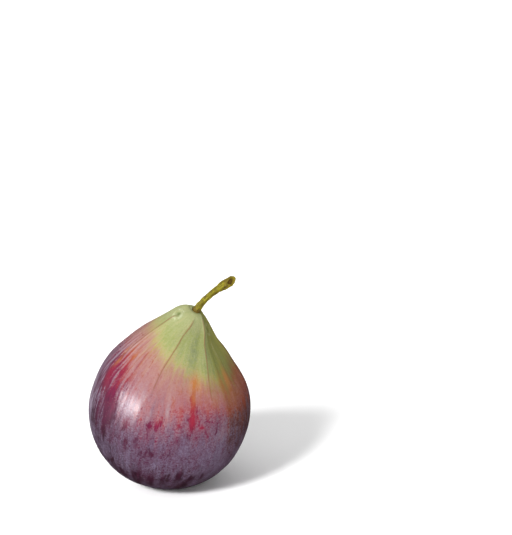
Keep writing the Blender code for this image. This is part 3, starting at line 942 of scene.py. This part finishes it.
def stalk_swell(share):
    """The stalk's radius, smooth between the stations of STALK_SWELL."""
    radius = np.full(share.shape, STALK_SWELL[0][1])
    for (low, first), (high, second) in zip(STALK_SWELL, STALK_SWELL[1:]):
        radius += (second - first) * smooth(low, high, share)
    return STALK_RADIUS * radius


def bark_relief(share, turn):
    """Twisting lengthwise ridges, cross wrinkles and small bumps, as a share of the radius."""
    rng = np.random.default_rng(5)
    relief = 0.0
    for rise, count, twist, phase in BARK_RIDGES:
        relief = relief + rise * np.cos(count * turn + twist * share + phase)
    for _ in range(BARK_WRINKLES):
        count = rng.integers(1, 4)
        pace = rng.uniform(25.0, 70.0)
        phase = rng.uniform(0.0, FULL_TURN)
        relief += 0.011 * np.cos(pace * share + count * turn + phase)
    for _ in range(BARK_BUMPS):
        centre, angle = rng.uniform(0.05, 0.97), rng.uniform(0.0, FULL_TURN)
        size = rng.uniform(0.25, 0.5)
        down = (share - centre) * STALK_LENGTH
        across = turn_between(turn, angle) * STALK_RADIUS
        relief += 0.26 * size * bell(np.hypot(down, across), size)
    return relief


BARK_COLOURS = (
    (0.37, (0.060, 0.040, 0.005)),
    (0.49, (0.180, 0.150, 0.006)),
    (0.62, (0.310, 0.275, 0.014)),
)
CUT_COLOURS = (
    (0.0, (0.10, 0.075, 0.010)),
    (0.18, (0.24, 0.20, 0.020)),
    (0.42, (0.19, 0.14, 0.014)),
    (0.66, (0.075, 0.038, 0.007)),
    (1.0, (0.13, 0.075, 0.012)),
)
# Painted shade in the bark's furrows
FURROW_SHADE_COLOUR = (0.075, 0.05, 0.012)
END_COLOUR = (0.13, 0.075, 0.02)


def stalk_finish():
    """Olive bark with dark brown painted shade in its furrows and brown ends, and an olive rim round a
    brown hollow at the cut.
    """
    made = Finish("stalk_bark_fine")
    share = made.field("share")
    cut = made.field("cut")
    fibres = made.noise(made.field("along", "Vector"), 1.0, 4.0, 0.6)
    blotches = made.noise(made.place(), 700.0, 3.0, 0.6)
    tone = made.weighted(made.maths("MULTIPLY", fibres, 0.5), (blotches, 0.5))
    # Painted shade: darker bark where its relief is low, in the furrows
    furrow_shade = made.spread(made.field("relief"), -0.06, 0.03, 0.65, 0.0)
    bark = made.mix(furrow_shade, made.ramp(tone, BARK_COLOURS), FURROW_SHADE_COLOUR)
    foot = made.spread(share, 0.0, 0.13, 0.65, 0.0)
    bark = made.mix(made.maths("ADD", foot, made.spread(share, 0.84, 0.97, 0.0, 0.45)), bark, END_COLOUR)
    colour = made.mix(made.spread(cut, 0.02, 0.12), bark, made.ramp(cut, CUT_COLOURS))
    normal = made.bump(made.maths("ADD", fibres, blotches), 0.00018)
    return made.surface(colour, 0.62, normal, specular=0.12)


def make_stalk():
    """Rings about a bending line, root first. The last ones slant and step in to the cut's hollow."""
    start = stalk_heading(np.zeros(1))[0]
    foot = stand_up(STALK_FOOT)
    share = np.linspace(0.0, 1.0, STALK_ROWS)
    middles = 0.5 * (share[1:] + share[:-1])
    strides = stalk_heading(middles) * (STALK_LENGTH * np.diff(share))[:, None]
    centres = foot + np.concatenate((np.zeros((1, 3)), np.cumsum(strides, axis=0)))
    headings = stalk_heading(share)

    root = np.array(ROOT_DEPTHS)
    centres = np.concatenate((foot - root[:, None] * start, centres))
    headings = np.concatenate((np.repeat(start[None], len(root), axis=0), headings))
    share = np.concatenate((np.zeros(len(root)), share))

    turn = np.linspace(0.0, FULL_TURN, STALK_COLUMNS, endpoint=False)[None, :]
    radius = stalk_swell(share)[:, None]
    relief = bark_relief(share[:, None], turn) * smooth(0.0, 0.04, share)[:, None]
    front = np.array((0.0, -1.0, 0.0))
    under = np.cross(headings, front)
    reach = np.cos(turn)[..., None] * front + np.sin(turn)[..., None] * under[:, None, :]
    slant = np.cos(turn) + 0.2 * np.sin(turn) + 0.10 * np.cos(3.0 * turn + 0.7)
    back = smooth(CUT_START, 1.0, share)[:, None] * radius * slant
    rings = centres[:, None, :] + reach * (radius * (1.0 + relief))[..., None]
    rings -= headings[:, None, :] * back[..., None]

    inward = np.array(CUT_RINGS)[:, None]
    depth = CUT_DEPTH * smooth(0.85, 0.45, inward) - CUT_LIP * bell(inward - 0.9, 0.08)
    ragged = 1.0 + 0.5 * np.cos(2.0 * turn + 1.0) * smooth(0.9, 0.5, inward)
    end_radius = radius[-1] * (1.0 + relief[-1:]) * inward
    end_back = radius[-1] * inward * slant + depth * ragged
    caps = centres[-1] + reach[-1:] * end_radius[..., None] - headings[-1] * end_back[..., None]

    bark, caps_shape = relief.shape, (len(inward), STALK_COLUMNS)
    shares = np.concatenate((np.broadcast_to(share[:, None], bark), np.ones(caps_shape)))
    cut = np.concatenate((np.zeros(bark), 0.05 + np.broadcast_to(1.0 - inward, caps_shape)))
    along = (2.2 * np.cos(turn), 2.2 * np.sin(turn), shares * STALK_LENGTH * 0.45)
    fields = {
        "share": shares,
        "cut": cut,
        "relief": np.concatenate((relief, np.zeros(caps_shape))),
        "along": np.stack(np.broadcast_arrays(*along), -1),
    }
    stalk = tube_object("stalk_bark", np.concatenate((rings, caps)), fields, stalk_finish())
    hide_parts("stalk")


# The eye's scales

EYE_COLUMNS = 180
EYE_ROWS = 56
EYE_CENTRE = 0.02
SCALES_INSET = 0.55
SCALES_GAP = 0.3
OUTER_SCALES = 6
INNER_SCALES = 4
INNER_WHORL = 0.52
INNER_BLEND = 0.015
INNER_LIFT = 0.13
SCALE_TWIST = 0.9
SCALE_COLOURS = (
    (0.15, (0.46, 0.30, 0.20)),
    (0.35, (0.30, 0.10, 0.07)),
    (0.75, (0.16, 0.045, 0.04)),
)


def whorl_height(along, turn, count):
    """A whorl, from its inner edge at 0 to its outer edge at 1: each scale arches and laps the next."""
    lap = ((turn + SCALE_TWIST * along) * count / FULL_TURN) % 1.0
    arch = 1.0 - (2.0 * lap - 1.0) ** 4
    return (0.12 * (1.0 - lap) + 0.13 * arch) * (0.35 + 0.65 * along), lap


def eye_finish():
    """Dry red brown scales with paler edges."""
    made = Finish("eye_scale_fine")
    lap = made.field("lap")
    fibres = made.noise(made.place(), 1500.0, 4.0, 0.6)
    tone = made.weighted(made.maths("MULTIPLY", lap, 0.5), (fibres, 0.5))
    colour = made.ramp(tone, SCALE_COLOURS)
    return made.surface(colour, 0.6, made.bump(fibres, 0.0001), specular=0.35)


def make_eye():
    """A round rosette in the eye's pit: an inner whorl that stands on an outer one, and a flat back."""
    share = np.linspace(EYE_CENTRE, 1.0, EYE_ROWS)[:, None]
    turn = np.linspace(0.0, FULL_TURN, EYE_COLUMNS, endpoint=False)[None, :]
    inner, inner_lap = whorl_height(np.minimum(1.0, share / INNER_WHORL), turn, INNER_SCALES)
    outside = np.maximum(0.0, (share - INNER_WHORL) / (1.0 - INNER_WHORL))
    outer, outer_lap = whorl_height(outside, turn, OUTER_SCALES)
    step = smooth(INNER_WHORL - INNER_BLEND, INNER_WHORL + INNER_BLEND, share)
    height = (INNER_LIFT + inner) * (1.0 - step) + outer * step
    height *= 1.0 - smooth(0.94, 1.0, share)
    across = EYE_RADIUS * share
    level = SCALES_INSET - BELLY_RADIUS - height
    face = np.stack((across * np.sin(turn), -across * np.cos(turn), level), -1)
    rim = face[-1:].copy()
    rim[..., 2] = EYE_DEPTH - BELLY_RADIUS - SCALES_GAP
    back = rim * (0.5, 0.5, 1.0)
    points = np.concatenate((face, rim, back))[::-1]
    lap = np.where(share < INNER_WHORL, inner_lap, outer_lap)
    lap = np.concatenate((lap, lap[-1:], lap[-1:]))[::-1]
    eye = tube_object("eye_rosette", stand_up(points[:, ::-1]), {"lap": lap[:, ::-1]}, eye_finish())
    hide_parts("eye_scales")


# The studio

# The picture's height in pixels, and the scale at the fig
IMAGE_HEIGHT = 535.0
PIXELS_PER_MM = 3.0
CAMERA_DISTANCE = 600.0
CAMERA_ELEVATION = math.radians(15.0)
SENSOR_WIDTH = 36.0
CLIP_RANGE = (0.01, 20.0)  # in metres

# How far the fig's centre is left of the picture's, and below it
VIEW_RIGHT = 29.0
VIEW_UP = 47.5

# Where the main light comes from. A second one from there only brightens the sheet under the fig.
KEY_DIRECTION = (-0.46, -0.72, 0.52)
KEY_SPREAD = math.radians(15.0)
KEY_STRENGTH = 2.1
SHEET_SPREAD = math.radians(11.0)
SHEET_STRENGTH = 2.6

# A weak light from the front, and the lit rectangle that makes the highlight, in metres and watts
FILL_DIRECTION = (-0.04, -0.95, 0.31)
FILL_SPREAD = math.radians(20.0)
FILL_STRENGTH = 0.4
BOX_DIRECTION = (-0.868, -0.475, 0.145)
BOX_DISTANCE = 1.0
BOX_SIZE = (0.20, 0.25)
BOX_POWER = 16.0

# The surroundings' light, how it changes to the right, to the back and upwards, and its least value
WORLD_LIGHT = 0.28
WORLD_SLOPES = (-0.24, -0.22, 0.66)
WORLD_LEAST = 0.04

# In metres
FLOOR_REACH = 3.0
FIG_MIDDLE = (0.0, 0.0, 0.03)


def make_floor():
    """A plain white sheet, which the glossy skin doesn't mirror."""
    mesh = bpy.data.meshes.new("floor")
    corners = [(FLOOR_REACH * x, FLOOR_REACH * y, 0.0) for x, y in ((-1, -1), (1, -1), (1, 1), (-1, 1))]
    mesh.from_pydata(corners, [], [(0, 1, 2, 3)])
    paper = Finish("white_floor").surface((0.96, 0.96, 0.96, 1.0), 0.9, specular=0.2)
    mesh.materials.append(paper)
    floor = bpy.data.objects.new("floor", mesh)
    bpy.context.scene.collection.objects.link(floor)
    floor.visible_glossy = False
    return floor


def aim(lamp, towards, distance):
    """Puts the lamp at a distance from the fig's middle, in a direction, facing the fig."""
    back = np.array(towards) / np.linalg.norm(towards)
    side = np.cross((0.0, 0.0, 1.0), back)
    side /= np.linalg.norm(side)
    lamp.location = (back * distance + FIG_MIDDLE).tolist()
    lamp.rotation_euler = Matrix(np.stack((side, np.cross(back, side), back), -1).tolist()).to_euler()
    bpy.context.scene.collection.objects.link(lamp)


def sun_light(name, towards, spread, strength):
    """Even light over the whole floor, with edges of shadows as soft as those of a wide soft box."""
    data = bpy.data.lights.new(name, "SUN")
    data.angle = spread
    data.energy = strength
    lamp = bpy.data.objects.new(name, data)
    lamp.visible_glossy = False
    aim(lamp, towards, 1.0)
    return lamp


def soft_box(name, towards, distance, size, power):
    """A lit rectangle that shows only as a soft highlight. Its size is (width, height)."""
    data = bpy.data.lights.new(name, "AREA")
    data.shape = "RECTANGLE"
    data.size, data.size_y = size
    data.energy = power
    lamp = bpy.data.objects.new(name, data)
    lamp.visible_diffuse = False
    aim(lamp, towards, distance)


def make_world():
    """White surroundings, brightest overhead and at the front left, plain white where they are seen."""
    world = bpy.data.worlds.new("studio")
    world.use_nodes = True
    nodes, links = world.node_tree.nodes, world.node_tree.links
    nodes.clear()
    direction = nodes.new("ShaderNodeTexCoord")
    parts = nodes.new("ShaderNodeSeparateXYZ")
    links.new(direction.outputs["Generated"], parts.inputs[0])
    total = WORLD_LIGHT
    for label, slope in zip("XYZ", WORLD_SLOPES):
        step = nodes.new("ShaderNodeMath")
        step.operation = "MULTIPLY_ADD"
        links.new(parts.outputs[label], step.inputs[0])
        step.inputs[1].default_value = slope
        if isinstance(total, float):
            step.inputs[2].default_value = total
        else:
            links.new(total, step.inputs[2])
        total = step.outputs[0]
    least = nodes.new("ShaderNodeMath")
    least.operation = "MAXIMUM"
    links.new(total, least.inputs[0])
    least.inputs[1].default_value = WORLD_LEAST
    light = nodes.new("ShaderNodeBackground")
    links.new(least.outputs[0], light.inputs["Strength"])
    seen = nodes.new("ShaderNodeBackground")
    seen.inputs["Strength"].default_value = 1.0
    for each in (light, seen):
        each.inputs["Color"].default_value = (1.0, 1.0, 1.0, 1.0)
    path = nodes.new("ShaderNodeLightPath")
    mix = nodes.new("ShaderNodeMixShader")
    output = nodes.new("ShaderNodeOutputWorld")
    links.new(path.outputs["Is Camera Ray"], mix.inputs[0])
    links.new(light.outputs[0], mix.inputs[1])
    links.new(seen.outputs[0], mix.inputs[2])
    links.new(mix.outputs[0], output.inputs["Surface"])
    bpy.context.scene.world = world


def make_camera():
    """Looks at the fig's best side from a little above, with the fig low and left in the picture."""
    data = bpy.data.cameras.new("camera")
    data.sensor_width = SENSOR_WIDTH
    data.lens = SENSOR_WIDTH * PIXELS_PER_MM * CAMERA_DISTANCE / IMAGE_HEIGHT
    data.clip_start, data.clip_end = CLIP_RANGE
    up = np.array((0.0, math.sin(CAMERA_ELEVATION), math.cos(CAMERA_ELEVATION)))
    forward = np.array((0.0, math.cos(CAMERA_ELEVATION), -math.sin(CAMERA_ELEVATION)))
    place = np.array((VIEW_RIGHT, 0.0, CENTRE_HEIGHT)) + up * VIEW_UP - forward * CAMERA_DISTANCE
    camera = bpy.data.objects.new("camera", data)
    camera.location = (place * MM).tolist()
    camera.rotation_euler = (math.pi / 2.0 - CAMERA_ELEVATION, 0.0, 0.0)
    bpy.context.scene.collection.objects.link(camera)
    bpy.context.scene.camera = camera


make_skin()
make_stalk()
make_eye()
floor = make_floor()
make_world()
sun_light("key", KEY_DIRECTION, KEY_SPREAD, KEY_STRENGTH)
sheet = sun_light("sheet", KEY_DIRECTION, SHEET_SPREAD, SHEET_STRENGTH)
sheet.light_linking.receiver_collection = bpy.data.collections.new("lit_sheet")
sheet.light_linking.receiver_collection.objects.link(floor)
sun_light("fill", FILL_DIRECTION, FILL_SPREAD, FILL_STRENGTH)
soft_box("highlight", BOX_DIRECTION, BOX_DISTANCE, BOX_SIZE, BOX_POWER)
make_camera()
bpy.context.scene.view_settings.view_transform = "Standard"
